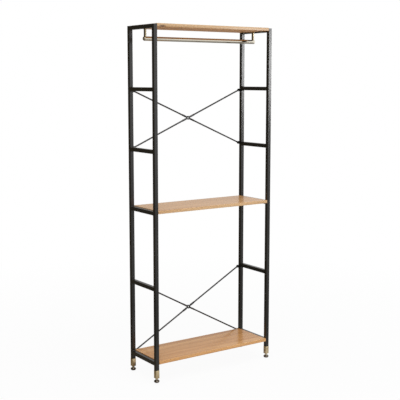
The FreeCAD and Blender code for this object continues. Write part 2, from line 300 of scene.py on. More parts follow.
glow = add_node(tree, "ShaderNodeEmission", (-200, -200), Color=(*white, 1), Strength=1.0)
mix = add_node(tree, "ShaderNodeMixShader", (0, 0))
output = add_node(tree, "ShaderNodeOutputMaterial", (200, 0))
tree.links.new(white_share.outputs["Value"], mix.inputs["Fac"])
tree.links.new(matt.outputs["BSDF"], mix.inputs[1])
tree.links.new(glow.outputs["Emission"], mix.inputs[2])
tree.links.new(mix.outputs["Shader"], output.inputs["Surface"])
floor.data.materials.append(floor_paint)
print("painted", floor.name, "with", floor_paint.name)

# %% [markdown]
# ## Black powder coat
# The tubes are powder coated: a baked, even black with a soft sheen. Close up the skin has a
# faint orange-peel ripple. A photo texture would need unwrapped faces. Noise in the piece's own
# coordinates needs none: a small bump from fine noise gives the ripple, and a slower noise
# makes the sheen a little uneven, as a sprayed coat is.

# %% Helpers for finishes
def start_material(name):
    """A new material with its shader and a node that reads the piece's own coordinates."""
    material = bpy.data.materials.new(name)
    material.use_nodes = True
    tree = material.node_tree
    shader = tree.nodes["Principled BSDF"]
    place = add_node(tree, "ShaderNodeTexCoord", (-1200, 0))
    print("made the finish", name)
    return material, tree, shader, place.outputs["Object"]


def add_noise(tree, place, coordinates, scale, detail, stretch=(1, 1, 1)):
    """Noise that can be stretched along an axis. Returns its value from 0 to 1."""
    mapping = add_node(tree, "ShaderNodeMapping", place, Scale=stretch)
    noise = add_node(tree, "ShaderNodeTexNoise", (place[0] + 200, place[1]), Scale=scale, Detail=detail)
    tree.links.new(coordinates, mapping.inputs["Vector"])
    tree.links.new(mapping.outputs["Vector"], noise.inputs["Vector"])
    return noise.outputs["Fac"]


def add_range(tree, place, value, low, high):
    """Turns a value from 0 to 1 into one from low to high."""
    spread = add_node(tree, "ShaderNodeMapRange", place, To_Min=low, To_Max=high)
    tree.links.new(value, spread.inputs["Value"])
    return spread.outputs["Result"]


def add_ramp(tree, place, value, stops):
    """Colours along a value: pairs of position and linear colour."""
    ramp = add_node(tree, "ShaderNodeValToRGB", place)
    elements = ramp.color_ramp.elements
    while len(elements) < len(stops):
        elements.new(0.5)
    for element, (position, colour) in zip(elements, stops):
        element.position = position
        element.color = (*colour, 1)
    tree.links.new(value, ramp.inputs["Fac"])
    return ramp.outputs["Color"]


def add_bump(tree, shader, height, strength, depth):
    """A bump of a given depth in metres, joined to the shader."""
    bump = add_node(tree, "ShaderNodeBump", (-250, -300), Strength=strength, Distance=depth)
    tree.links.new(height, bump.inputs["Height"])
    tree.links.new(bump.outputs["Normal"], shader.inputs["Normal"])


# %% Make the powder coat
coat_dark = (0.005, 0.0045, 0.0036)
coat_light = (0.008, 0.0073, 0.006)
clouds_per_metre = 9
ripples_per_metre = 800
fine_depth = 0.0001


def make_powder_coat():
    """Black paint with a slow cloud in its colour and sheen, and a fine ripple."""
    material, tree, shader, here = start_material("black_powder_coat")
    cloud = add_noise(tree, (-900, 200), here, clouds_per_metre, 2)
    peel = add_noise(tree, (-900, -200), here, ripples_per_metre, 2)
    colour = add_ramp(tree, (-500, 300), cloud, [(0.3, coat_dark), (0.7, coat_light)])
    tree.links.new(colour, shader.inputs["Base Color"])
    shader.inputs["Specular IOR Level"].default_value = 0.62
    tree.links.new(add_range(tree, (-500, 50), cloud, 0.19, 0.24), shader.inputs["Roughness"])
    add_bump(tree, shader, peel, 0.03, fine_depth)
    return material


powder_coat = make_powder_coat()

# %% [markdown]
# ## Shelf wood
# The shelves are light brown wood with a straight grain that runs along the shelf, under a
# satin lacquer. Real grain is layered: broad bands from slow growth, thin fibres, and short
# dark pores. So we stretch noise along the shelf at three widths and mix the layers. Real
# boards differ in tone, so each is mixed from a warm and a pale wood in its own share, and the
# middle one has a paler band on its edges. Each board's colour is also scaled as painted light
# and shade. The bottom board is painted lighter where the shelves above shade it. The top board
# is painted darker where the lamps light its front edge, and its paler tone is partly a painted
# sheen. One knot darkens the left end of the top board's front edge: a spot by distance from a
# point, with its rim made ragged by the fibres.

# %% Place the knot
knot_place = (-0.318, -0.125, 1.788)
knot_stretch = (0.3, 1, 1)
knot_size = 0.010
knot_core = 0.8 * knot_size
knot_rim = 1.5 * knot_size
knot_colour = (0.07, 0.030, 0.014)


def add_knot(tree, here, colour, fibres):
    """Darkens the wood round one point, in a ragged spot drawn out along the grain."""
    shift = add_node(tree, "ShaderNodeVectorMath", (-900, 700))
    shift.operation = "SUBTRACT"
    shift.inputs[1].default_value = knot_place
    squeeze = add_node(tree, "ShaderNodeVectorMath", (-700, 700))
    squeeze.operation = "MULTIPLY"
    squeeze.inputs[1].default_value = knot_stretch
    length = add_node(tree, "ShaderNodeVectorMath", (-500, 700))
    length.operation = "LENGTH"
    ragged = add_node(tree, "ShaderNodeMath", (-400, 600))
    ragged.operation = "MULTIPLY_ADD"
    ragged.inputs[1].default_value = knot_size
    spot = add_node(tree, "ShaderNodeMapRange", (-300, 700), From_Min=knot_core, From_Max=knot_rim,
                    To_Min=1.0, To_Max=0.0)
    spot.interpolation_type = "SMOOTHSTEP"
    tree.links.new(here, shift.inputs[0])
    tree.links.new(shift.outputs["Vector"], squeeze.inputs[0])
    tree.links.new(squeeze.outputs["Vector"], length.inputs[0])
    tree.links.new(fibres, ragged.inputs[0])
    tree.links.new(length.outputs["Value"], ragged.inputs[2])
    tree.links.new(ragged.outputs["Value"], spot.inputs["Value"])
    return mix_colours(tree, (-100, 500), spot.outputs["Result"], colour, knot_colour)


print("knot at", knot_place)

# %% Make the shelf woods
warm_wood = [(0.40, 0.170, 0.055), (0.50, 0.242, 0.083), (0.57, 0.292, 0.106), (0.63, 0.350, 0.140)]
pale_wood = [(0.45, 0.250, 0.112), (0.54, 0.330, 0.158), (0.59, 0.375, 0.192), (0.64, 0.420, 0.232)]
grain_steps = (0.36, 0.46, 0.54, 0.64)
band_stretch = (0.9, 26, 26)
fibre_stretch = (10, 520, 520)
pore_stretch = (50, 1500, 1500)
fibre_share = 0.35
pore_depth = 0.0002


def make_shelf_wood(name, pale, smooth, rough, specular=0.5, painted_light_scale=1.0):
    """Lacquered wood mixed from the warm and the pale tones and scaled lighter or darker as painted light and
    shade, with a range of roughness.
    """
    material, tree, shader, here = start_material(name)
    bands = add_noise(tree, (-900, 400), here, 1, 3, stretch=band_stretch)
    fibres = add_noise(tree, (-900, 100), here, 1, 3, stretch=fibre_stretch)
    pores = add_noise(tree, (-900, -200), here, 1, 1, stretch=pore_stretch)
    blend = add_node(tree, "ShaderNodeMix", (-500, 300), Factor=fibre_share)
    tree.links.new(bands, blend.inputs["A"])
    tree.links.new(fibres, blend.inputs["B"])
    # The last factor paints light or shade into the board's colour: above one it is painted light, below one
    # painted shade.
    tones = [Vector(warm).lerp(Vector(light), pale) * painted_light_scale for warm, light in zip(warm_wood, pale_wood)]
    colour = add_ramp(tree, (-300, 300), blend.outputs["Result"], list(zip(grain_steps, tones)))
    tree.links.new(add_knot(tree, here, colour, fibres), shader.inputs["Base Color"])
    tree.links.new(add_range(tree, (-500, 0), fibres, smooth, rough), shader.inputs["Roughness"])
    shader.inputs["Specular IOR Level"].default_value = specular
    add_bump(tree, shader, pores, 0.05, pore_depth)
    return material


# The bottom board is painted lighter, as painted light under the shelves above. The top board is painted darker,
# as painted shade against the lamps on its front edge, and its paler tone is partly a painted sheen.
shelf_woods = {
    "bottom": make_shelf_wood("warm_lacquered_wood", 0.05, 0.20, 0.28, painted_light_scale=1.06),
    "middle": make_shelf_wood("pale_lacquered_wood", 0.35, 0.20, 0.28),
    "top": make_shelf_wood("top_lacquered_wood", 1.1, 0.34, 0.44, painted_light_scale=0.68),
}
edge_bands = dict(shelf_woods, middle=make_shelf_wood("pale_edge_band", 1.1, 0.27, 0.37))
# The underside's colour is painted lighter: painted light standing in for the weak bounce from the floor.
shelf_underside = make_shelf_wood("sealed_underside_painted_lighter", 0.0, 0.5, 0.6, specular=0.4, painted_light_scale=1.22)

# %% [markdown]
# ## Metals
# The rail is polished pale brass. Its legs are the same brass painted darker, a painted shade
# for the dark surroundings they mirror, and the foot sleeves are satin brass. The domes of
# the feet are a dark polished metal, and the wood screws, studs and lock nuts are yellow plated
# steel. What tells such metals apart is their colour, how sharply they mirror, and the fine
# lines that polishing leaves. One function makes them all: noise, stretched the way the piece
# was polished, varies the colour and the roughness together.

# %% Make the metals
def make_metal(name, light, dark, smooth, rough, stretch, bump=0.05):
    """Bare metal with polishing lines: two tones, a range of roughness and the lines' density."""
    material, tree, shader, here = start_material(name)
    shader.inputs["Metallic"].default_value = 1.0
    lines = add_noise(tree, (-900, 0), here, 1, 2, stretch=stretch)
    colour = add_ramp(tree, (-500, 200), lines, [(0.3, dark), (0.7, light)])
    tree.links.new(colour, shader.inputs["Base Color"])
    tree.links.new(add_range(tree, (-500, -50), lines, smooth, rough), shader.inputs["Roughness"])
    add_bump(tree, shader, lines, bump, fine_depth)
    return material


rail_brass = make_metal("polished_pale_brass", (0.75, 0.70, 0.60), (0.69, 0.64, 0.53), 0.05, 0.07,
                        stretch=(8, 120, 120), bump=0.002)
# The legs' brass is painted darker than the rail's: painted shade for the dark surroundings they mirror.
leg_brass_painted_dark = make_metal("brass_painted_dark", (0.30, 0.25, 0.16), (0.22, 0.18, 0.11), 0.25, 0.35,
                       stretch=(300, 300, 20), bump=0.01)
sleeve_brass = make_metal("satin_brass", (0.75, 0.62, 0.40), (0.66, 0.53, 0.32), 0.24, 0.32,
                          stretch=(900, 900, 30))
foot_metal = make_metal("dark_polished_metal", (0.20, 0.17, 0.14), (0.14, 0.12, 0.10), 0.10, 0.18,
                        stretch=(300, 300, 900))
plated_steel = make_metal("yellow_plated_steel", (0.72, 0.66, 0.52), (0.62, 0.56, 0.43), 0.22, 0.32,
                          stretch=(400, 400, 400))

# %% [markdown]
# ## Black plastic
# The post caps and the soles under the feet are moulded plastic, which is duller than the paint
# beside it. A mould with an etched wall leaves a fine, even grain. A plain dark colour would look
# like rubber, so the grain gets a bump and a little change of tone.

# %% Make the plastic and list the finishes
plastic_dark = (0.012, 0.012, 0.012)
plastic_light = (0.018, 0.018, 0.018)
grains_per_metre = 1500


def make_black_plastic():
    """Dull black plastic with a moulded grain."""
    material, tree, shader, here = start_material("moulded_black_plastic")
    grain = add_noise(tree, (-900, 0), here, grains_per_metre, 3)
    colour = add_ramp(tree, (-500, 200), grain, [(0.3, plastic_dark), (0.7, plastic_light)])
    tree.links.new(colour, shader.inputs["Base Color"])
    tree.links.new(add_range(tree, (-500, -50), grain, 0.45, 0.6), shader.inputs["Roughness"])
    add_bump(tree, shader, grain, 0.2, fine_depth)
    return material


finishes = {
    "frame_paint": powder_coat,
    "shelf_wood": shelf_woods["middle"],
    "rail_brass": rail_brass,
    "sleeve_brass": sleeve_brass,
    "foot_metal": foot_metal,
    "plated_steel": plated_steel,
    "black_plastic": make_black_plastic(),
}

# %% [markdown]
# ## Shelf boards
# A real shelf of this kind is a board with banded edges: the band's seam shows as a hairline
# just inside the rim, and the sharp edge is broken so that it does not chip. A plain block
# would look like cardboard. So we start from a block the size of the CAD shelf, round all its
# edges, and press a fine V-groove into the wide faces with two insets. The underside gets its
# own, duller finish, because makers lacquer only what is seen and touched. Its colour is also
# painted lighter: painted light where the floor's bounce falls short.

# %% Helpers for modelling by hand
def begin(piece):
    """Makes a piece the only selected one and enters edit mode."""
    bpy.ops.object.select_all(action="DESELECT")
    piece.select_set(True)
    bpy.context.view_layer.objects.active = piece
    bpy.ops.object.mode_set(mode="EDIT")


def pick(piece, kind, test):
    """In edit mode, selects the faces, edges or points that pass a test of their middle."""
    bpy.ops.mesh.select_mode(type=kind)
    bpy.ops.mesh.select_all(action="DESELECT")
    mesh = bmesh.from_edit_mesh(piece.data)
    for part in {"VERT": mesh.verts, "EDGE": mesh.edges, "FACE": mesh.faces}[kind]:
        corners = [part] if kind == "VERT" else list(part.verts)
        middle = sum((corner.co for corner in corners), Vector()) / len(corners)
        if test(middle, part):
            part.select_set(True)
    mesh.select_flush_mode()
    bmesh.update_edit_mesh(piece.data)


def extrude_up(height):
    """In edit mode, extrudes the selected face along Z. A negative height goes down."""
    bpy.ops.mesh.extrude_region_move(TRANSFORM_OT_translate={"value": (0, 0, height)})


def add_block(name, low, high):
    """A block between two corners, with its place and size in the mesh."""
    low, high = Vector(low), Vector(high)
    bpy.ops.object.select_all(action="DESELECT")
    bpy.ops.mesh.primitive_cube_add(size=1, location=(low + high) / 2)
    block = bpy.context.object
    block.name = name
    block.scale = high - low
    bpy.ops.object.transform_apply(location=True, rotation=True, scale=True)
    return block


def settle(piece, slot, body="frame", replaced=(), angle=35):
    """Smooths a finished piece, gives it its finish and lets it ride on its body."""
    bpy.ops.object.mode_set(mode="OBJECT")
    bpy.ops.object.select_all(action="DESELECT")
    piece.select_set(True)
    bpy.context.view_layer.objects.active = piece
    bpy.ops.object.shade_smooth_by_angle(angle=math.radians(angle))
    if not piece.data.materials:
        piece.data.materials.append(finishes[slot])
    piece.data.name = piece.name
    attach(piece, body)
    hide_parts(*replaced)
    print("made", piece.name, "with", len(piece.data.polygons), "faces")


# %% Model the three boards
edge_round = 0.0008
band_thickness = 0.0012
groove = 0.0002
wide_face = 0.1


def finish_faces(piece, number, test):
    """In edit mode, gives the faces that pass a test one of the piece's finishes."""
    pick(piece, "FACE", test)
    piece.active_material_index = number
    bpy.ops.object.material_slot_assign()


for shelf in ("bottom", "middle", "top"):
    low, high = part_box(shelf + "_shelf")
    board = add_block(shelf + "_shelf_board", low, high)
    for finish in (shelf_woods[shelf], shelf_underside, edge_bands[shelf]):
        board.data.materials.append(finish)
    begin(board)
    bpy.ops.mesh.select_all(action="SELECT")
    bpy.ops.mesh.bevel(offset=edge_round, segments=3, affect="EDGES")
    pick(board, "FACE", lambda middle, face: face.calc_area() > wide_face)
    bpy.ops.mesh.inset(thickness=band_thickness)
    bpy.ops.mesh.inset(thickness=groove, depth=-groove)
    bpy.ops.mesh.inset(thickness=groove, depth=groove)
    finish_faces(board, 1, lambda middle, face: face.normal.z < -0.5)
    finish_faces(board, 2, lambda middle, face: abs(face.normal.z) < 0.5)
    settle(board, "shelf_wood", replaced=[shelf + "_shelf"])

# %% [markdown]
# ## Weld beads
# The rungs are welded between the posts. Under the paint a weld shows as a rippled bead in
# the corner where the two tubes meet. We make one bead from a thin cylinder: cut its length
# into rings, pinch every second ring and thin the ends. Then the bead is copied to the top and
# the bottom of every rung end. The topmost rungs have no corner above them, so no bead there.

# %% Helpers for rods and copies
def set_aside(piece, name, matrix):
    """A copy of a piece with its own mesh, moved in that mesh by a matrix."""
    bpy.ops.object.select_all(action="DESELECT")
    piece.select_set(True)
    bpy.context.view_layer.objects.active = piece
    bpy.ops.object.duplicate(linked=False)
    copy = bpy.context.object
    copy.name = name
    copy.matrix_world = matrix
    bpy.ops.object.transform_apply(location=True, rotation=True, scale=True)
    return copy


def join_copies(piece, name, matrices):
    """Copies a model to each place, joins the copies and removes the model."""
    copies = [set_aside(piece, name, matrix) for matrix in matrices]
    bpy.ops.object.select_all(action="DESELECT")
    piece.select_set(True)
    bpy.ops.object.delete()
    for copy in copies:
        copy.select_set(True)
    bpy.context.view_layer.objects.active = copies[0]
    bpy.ops.object.join()
    copies[0].name = name
    return copies[0]


def add_rod(name, radius, start, end, corners=48):
    """A cylinder or prism between two points on the Z axis."""
    bpy.ops.object.select_all(action="DESELECT")
    bpy.ops.mesh.primitive_cylinder_add(vertices=corners, radius=radius, depth=end - start,
                                        location=(0, 0, (start + end) / 2))
    rod = bpy.context.object
    rod.name = name
    bpy.ops.object.transform_apply(location=True, rotation=True, scale=True)
    return rod


# %% Model one bead
bead_radius = 0.0027
bead_length = 0.0175
bead_rings = 15
bead_pinch = 0.86
thinnest_end = 0.2

bead = add_rod("bead", bead_radius, -bead_length / 2, bead_length / 2, corners=14)
begin(bead)
pick(bead, "EDGE", lambda middle, edge: edge.calc_length() > bead_length / 2)
bpy.ops.mesh.subdivide(number_cuts=bead_rings)
for ring in range(bead_rings + 2):
    level = -bead_length / 2 + bead_length * ring / (bead_rings + 1)
    thin = math.sqrt(max(1 - abs(2 * level / bead_length) ** 5, thinnest_end))
    size = thin * (bead_pinch if ring % 2 else 1.0)
    pick(bead, "VERT", lambda middle, point: abs(middle.z - level) < 1e-5)
    bpy.ops.transform.resize(value=(size, size, 1), center_override=(0, 0, 0))
bpy.ops.object.mode_set(mode="OBJECT")
print("bead with", len(bead.data.polygons), "faces")

# %% Weld the ladders
lie_along_x = Matrix.Rotation(math.pi / 2, 4, "Y")
top_margin = 0.01

for side in ("left", "right"):
    places = []
    for level in range(1, 7):
        low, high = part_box(f"{side}_rung_{level}")
        middle_x = (low.x + high.x) / 2
        for y in (low.y, high.y):
            for z in (low.z, high.z):
                if z < cad_box[1][2] - top_margin:
                    places.append(Matrix.Translation((middle_x, y, z)) @ lie_along_x)
    model = set_aside(bead, "bead_model", Matrix())
    welds = join_copies(model, side + "_ladder_welds", places)
    settle(welds, "frame_paint", angle=60)
bpy.data.objects.remove(bead)

# %% [markdown]
# ## Post caps
# A moulded plastic cap closes the top of each post. The real cap is a small square plate with
# rounded corners and a plug that grips the inside of the tube. We round the corners of a
# block, push the plug out of its underside and lower the rim of its top a little, which
# leaves the soft edge that a moulded part has.

# %% Model one cap
cap_low, cap_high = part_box("post_caps")
tube_side = 0.020
tube_wall = 0.0013
cap_thickness = 0.002
cap_corner = 0.0015
cap_rim = 0.0008
cap_rim_drop = 0.0004
cap_plug = cap_high.z - cap_low.z - cap_thickness

cap = add_block("cap", (-tube_side / 2, -tube_side / 2, -cap_thickness), (tube_side / 2, tube_side / 2, 0))
begin(cap)
pick(cap, "EDGE", lambda middle, edge: abs(middle.z + cap_thickness / 2) < 1e-5)
bpy.ops.mesh.bevel(offset=cap_corner, segments=5, affect="EDGES")
pick(cap, "FACE", lambda middle, face: face.normal.z < -0.9)
bpy.ops.mesh.inset(thickness=tube_wall)
extrude_up(-cap_plug)
pick(cap, "FACE", lambda middle, face: face.normal.z > 0.9)
bpy.ops.mesh.inset(thickness=cap_rim)
rim_start = tube_side / 2 - cap_rim / 2
pick(cap, "VERT", lambda middle, point: abs(middle.z) < 1e-6
     and max(abs(middle.x), abs(middle.y)) > rim_start)
bpy.ops.transform.translate(value=(0, 0, -cap_rim_drop))
bpy.ops.object.mode_set(mode="OBJECT")
print("cap with", len(cap.data.polygons), "faces")

# %% Cap the four posts
post_x = (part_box("front_right_post")[0].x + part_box("front_right_post")[1].x) / 2
post_y = (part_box("back_right_post")[0].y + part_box("back_right_post")[1].y) / 2
post_places = {f"{face}_{side}": Vector((x, y, 0))
               for side, x in (("left", -post_x), ("right", post_x))
               for face, y in (("front", -post_y), ("back", post_y))}
cap_level = Vector((0, 0, cap_high.z))
caps = join_copies(cap, "post_top_caps",
                   [Matrix.Translation(place + cap_level) for place in post_places.values()])
settle(caps, "black_plastic", replaced=["post_caps"])

# %% [markdown]
# ## Wood screws
# Under each shelf, screws go up through the tabs into the wood. A real one has a domed head
# with a cross recess for the driver. We round the rim of a short cylinder, then cut two thin
# slots out of it with a Boolean, which gives the crisp inner walls that shading cannot.

# %% Model one screw
def cut(piece, tool, operation="DIFFERENCE"):
    """Takes a tool's volume out of a piece, or keeps only what both share, and removes the tool."""
    bpy.ops.object.select_all(action="DESELECT")
    bpy.context.view_layer.objects.active = piece
    knife = piece.modifiers.new("cut", "BOOLEAN")
    knife.operation = operation
    knife.solver = "EXACT"
    knife.object = tool
    bpy.ops.object.modifier_apply(modifier="cut")
    tool.select_set(True)
    bpy.ops.object.delete()


screw_head = 0.004
screw_head_height = 0.0024
screw_dome = 0.0014
screw_shank = 0.002
screw_length = 0.012
screw_tip = 0.003
tip_share = 0.2
slot_reach = 0.0021
slot_half_width = 0.0005
slot_top = -0.0012
slot_bottom = -0.004

screw = add_rod("screw", screw_head, -screw_head_height, 0)
begin(screw)
pick(screw, "EDGE", lambda middle, edge: abs(middle.z + screw_head_height) < 1e-6)
bpy.ops.mesh.bevel(offset=screw_dome, segments=4, affect="EDGES")
pick(screw, "FACE", lambda middle, face: face.normal.z > 0.9)
bpy.ops.mesh.inset(thickness=screw_head - screw_shank)
extrude_up(screw_length - screw_tip)
extrude_up(screw_tip)
bpy.ops.transform.resize(value=(tip_share, tip_share, 1), center_override=(0, 0, screw_length))
bpy.ops.object.mode_set(mode="OBJECT")
for x, y in ((slot_reach, slot_half_width), (slot_half_width, slot_reach)):
    cut(screw, add_block("slot", (-x, -y, slot_bottom), (x, y, slot_top)))
print("screw with", len(screw.data.polygons), "faces")

# %% Drive the screws
tab_thickness = 0.003
tab_screw_inset = 0.012
tab_screw_y = 0.075
plate_screw_y = 0.0135
turn_between_screws = 0.7

screw_places = []
for shelf in ("bottom", "middle", "top"):
    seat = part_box(shelf + "_shelf")[0].z - tab_thickness
    tab_low, tab_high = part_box(shelf + "_shelf_tabs")
    for x in (tab_low.x + tab_screw_inset, tab_high.x - tab_screw_inset):
        screw_places += [(x, y, seat) for y in (-tab_screw_y, tab_screw_y)]
plate_low, plate_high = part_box("right_rail_plate")
plate_x = (plate_low.x + plate_high.x) / 2
for x in (-plate_x, plate_x):
    screw_places += [(x, y, plate_low.z) for y in (-plate_screw_y, plate_screw_y)]
screws = join_copies(screw, "shelf_screws",
                     [Matrix.Translation(place) @ Matrix.Rotation(turn_between_screws * index, 4, "Z")
                      for index, place in enumerate(screw_places)])
settle(screws, "plated_steel", replaced=["wood_screws"])

# %% [markdown]
# ## Hanging rail
# The rail is a polished round tube with a pressed cap at each end, and a leg near each end
# carries it. Tube and cap meet in a hairline seam, and each leg flares out a little where it
# meets its plate. A round piece is best turned: we draw half of its outline, point by point,
# and spin the outline round the axis.

# %% Helpers for turned pieces
def draw_outline(name, points):
    """An outline in the XZ plane: one point, extruded from corner to corner."""
    points = [Vector((x, 0, z)) for x, z in points]
    bpy.ops.object.select_all(action="DESELECT")
    bpy.ops.mesh.primitive_plane_add(size=0.001)
    outline = bpy.context.object
    outline.name = name
    bpy.ops.object.mode_set(mode="EDIT")
    bpy.ops.mesh.select_mode(type="VERT")
    bpy.ops.mesh.select_all(action="SELECT")
    bpy.ops.mesh.merge(type="CENTER")
    bpy.ops.transform.translate(value=points[0])
    for here, there in zip(points, points[1:]):
        bpy.ops.mesh.extrude_region_move(TRANSFORM_OT_translate={"value": there - here})
    return outline


def turn(outline, axis, steps=64):
    """Spins an outline once round an axis through the origin and closes it."""
    bpy.ops.mesh.select_all(action="SELECT")
    bpy.ops.mesh.spin(steps=steps, angle=2 * math.pi, center=(0, 0, 0), axis=axis)
    bpy.ops.mesh.select_all(action="SELECT")
    bpy.ops.mesh.remove_doubles(threshold=1e-6)
    bpy.ops.mesh.normals_make_consistent(inside=False)
    bpy.ops.object.mode_set(mode="OBJECT")
    return outline


def arc(middle, radius, start, end, count):
    """Points on an arc, from one angle to another, in degrees."""
    angles = [math.radians(start + (end - start) * step / count) for step in range(count + 1)]
    return [(middle[0] + radius * math.cos(angle), middle[1] + radius * math.sin(angle))
            for angle in angles]


# %% Turn the rail
rail_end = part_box("rail_end_caps")[1].x
tube_low, tube_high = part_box("hanging_rail")
tube_end = tube_high.x
rail_radius = (tube_high.z - tube_low.z) / 2
rail_z = (tube_high.z + tube_low.z) / 2
rail_round = 0.007
seam = 0.0003

right_half = [(0, rail_radius), (tube_end - seam, rail_radius)]
right_half += [(tube_end, rail_radius - seam), (tube_end + seam, rail_radius)]
right_half += arc((rail_end - rail_round, rail_radius - rail_round), rail_round, 90, 0, 8)
right_half += [(rail_end, 0)]
left_half = [(-x, z) for x, z in reversed(right_half[1:])]
rail = turn(draw_outline("rail_bar", left_half + right_half), axis=(1, 0, 0), steps=48)
rail.location.z = rail_z
bpy.ops.object.transform_apply(location=True, rotation=True, scale=True)
settle(rail, "rail_brass", replaced=["hanging_rail", "rail_end_caps"], angle=30)

# %% Turn its legs
leg_above_axis = 0.004
leg_foot = rail_z + leg_above_axis
leg_flare = [(0, -0.0009), (0.0001, -0.0005), (0.00035, -0.00015), (0.0005, 0)]

for side in ("left", "right"):
    low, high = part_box(side + "_rail_leg")
    leg_radius = (high.x - low.x) / 2
    leg_outline = [(0, leg_foot), (leg_radius, leg_foot)]
    leg_outline += [(leg_radius + out, high.z + up) for out, up in leg_flare]
    leg_outline += [(0, high.z)]
    leg = turn(draw_outline(side + "_rail_post", leg_outline), axis=(0, 0, 1), steps=40)
    leg.location.x = (low.x + high.x) / 2
    bpy.ops.object.transform_apply(location=True, rotation=True, scale=True)
    # The legs take the brass that is painted darker, as painted shade.
    leg.data.materials.append(leg_brass_painted_dark)
    settle(leg, "rail_brass", replaced=[side + "_rail_leg"], angle=30)

# %% [markdown]
# ## Brace nuts
# Each brace rod is pulled tight by a long hex nut beside the ring. Turned hex stock has its
# corners chamfered at both ends. We could file each corner by hand, but that shape is what a
# hexagon and a chamfered cylinder have in common, so a Boolean that keeps only the shared
# volume makes it exactly.

# %% Model the brace nuts
barrel_share = 0.995
bore_reach = 0.001


def add_hex(name, corner_radius, start, end, chamfer, bore=0.0):
    """Hex stock on the Z axis, with chamfered corners and, if wanted, a bore."""
    bar = add_rod(name, corner_radius, start, end, corners=6)
    barrel = add_rod("barrel", corner_radius * barrel_share, start, end, corners=64)
    begin(barrel)
    pick(barrel, "EDGE", lambda middle, edge: min(abs(middle.z - start), abs(middle.z - end)) < 1e-7)
    bpy.ops.mesh.bevel(offset=chamfer, segments=1, affect="EDGES")
    bpy.ops.object.mode_set(mode="OBJECT")
    cut(bar, barrel, "INTERSECT")
    if bore:
        cut(bar, add_rod("bore", bore, start - bore_reach, end + bore_reach, corners=40))
    return bar


rod_radius = 0.004
rod_gap = 0.00005
eye_radius = 0.008
nut_start = 0.014
nut_end = 0.042
nut_radius = 0.0052
nut_chamfer = 0.0006

for cross in ("lower", "upper"):
    ring_low, ring_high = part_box(cross + "_brace_ring")
    middle = (ring_low + ring_high) / 2
    rod_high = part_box(cross + "_brace_rod_right_top")[1]
    slope = math.atan2(rod_high.z - eye_radius - middle.z, rod_high.x - eye_radius)
    places = [Matrix.Translation(middle) @ Matrix.Rotation(-angle, 4, "Y") @ lie_along_x
              for angle in (slope, math.pi - slope, math.pi + slope, -slope)]
    nut = add_hex("nut", nut_radius, nut_start, nut_end, nut_chamfer, rod_radius + rod_gap)
    nuts = join_copies(nut, cross + "_brace_tension_nuts", places)
    settle(nuts, "frame_paint", replaced=[cross + "_brace_nuts"], angle=25)
    print(cross, "slope", round(math.degrees(slope), 2))

# %% [markdown]
# ## Brace bolts
# The eye at the end of each rod is held to a lug on the post by a round-headed bolt with a hex
# socket. A ball would make too high a head. So the dome is a short cylinder whose rim is rounded
# in several steps, the shank is pushed out of its back, and a six-sided prism cut out of the
# dome leaves the socket.

# %% Model one bolt
bolt_low, bolt_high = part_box("brace_bolts")
bolt_head = 0.0045
bolt_head_height = 0.0025
bolt_dome = 0.0018
bolt_shank = 0.0025
bolt_length = bolt_high.y - bolt_low.y - bolt_head_height
bolt_socket = 0.0017
bolt_socket_floor = 0.0009
bolt_socket_end = 0.004

bolt = add_rod("bolt", bolt_head, 0, bolt_head_height)
begin(bolt)
pick(bolt, "EDGE", lambda middle, edge: abs(middle.z - bolt_head_height) < 1e-7)
bpy.ops.mesh.bevel(offset=bolt_dome, segments=5, affect="EDGES")
pick(bolt, "FACE", lambda middle, face: face.normal.z < -0.9)
bpy.ops.mesh.inset(thickness=bolt_head - bolt_shank)
extrude_up(-bolt_length)
bpy.ops.object.mode_set(mode="OBJECT")
cut(bolt, add_rod("socket", bolt_socket, bolt_socket_floor, bolt_socket_end, corners=6))
print("bolt with", len(bolt.data.polygons), "faces")

# %% Bolt the eyes to the posts
point_back = Matrix.Rotation(-math.pi / 2, 4, "X")

bolt_places = []
for cross in ("lower", "upper"):
    for end in ("left_top", "left_bottom", "right_top", "right_bottom"):
        low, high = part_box(f"{cross}_brace_rod_{end}")
        x = low.x + eye_radius if "left" in end else high.x - eye_radius
        z = high.z - eye_radius if "top" in end else low.z + eye_radius
        bolt_places.append(Matrix.Translation((x, bolt_high.y - bolt_head_height, z)) @ point_back)
bolts = join_copies(bolt, "brace_eye_bolts", bolt_places)
settle(bolts, "frame_paint", replaced=["brace_bolts"])

# %% [markdown]
# ## Foot sleeves
# A drawn brass-coloured sleeve fits over the end of each post. Drawn sheet has generous round
# corners, a soft bottom rim and a thin open top. We round a block, hollow it from the top by
# an inset and a downward extrusion, and bore the floor for the foot's screw.

# %% Model the sleeves
sleeve_corner = 0.0023
sleeve_bottom_round = 0.0009
sleeve_lip = 0.0002
sleeve_wall = 0.00075
sleeve_floor = 0.002
sleeve_hole = 0.0046
hole_below = 0.002
hole_above = 0.01

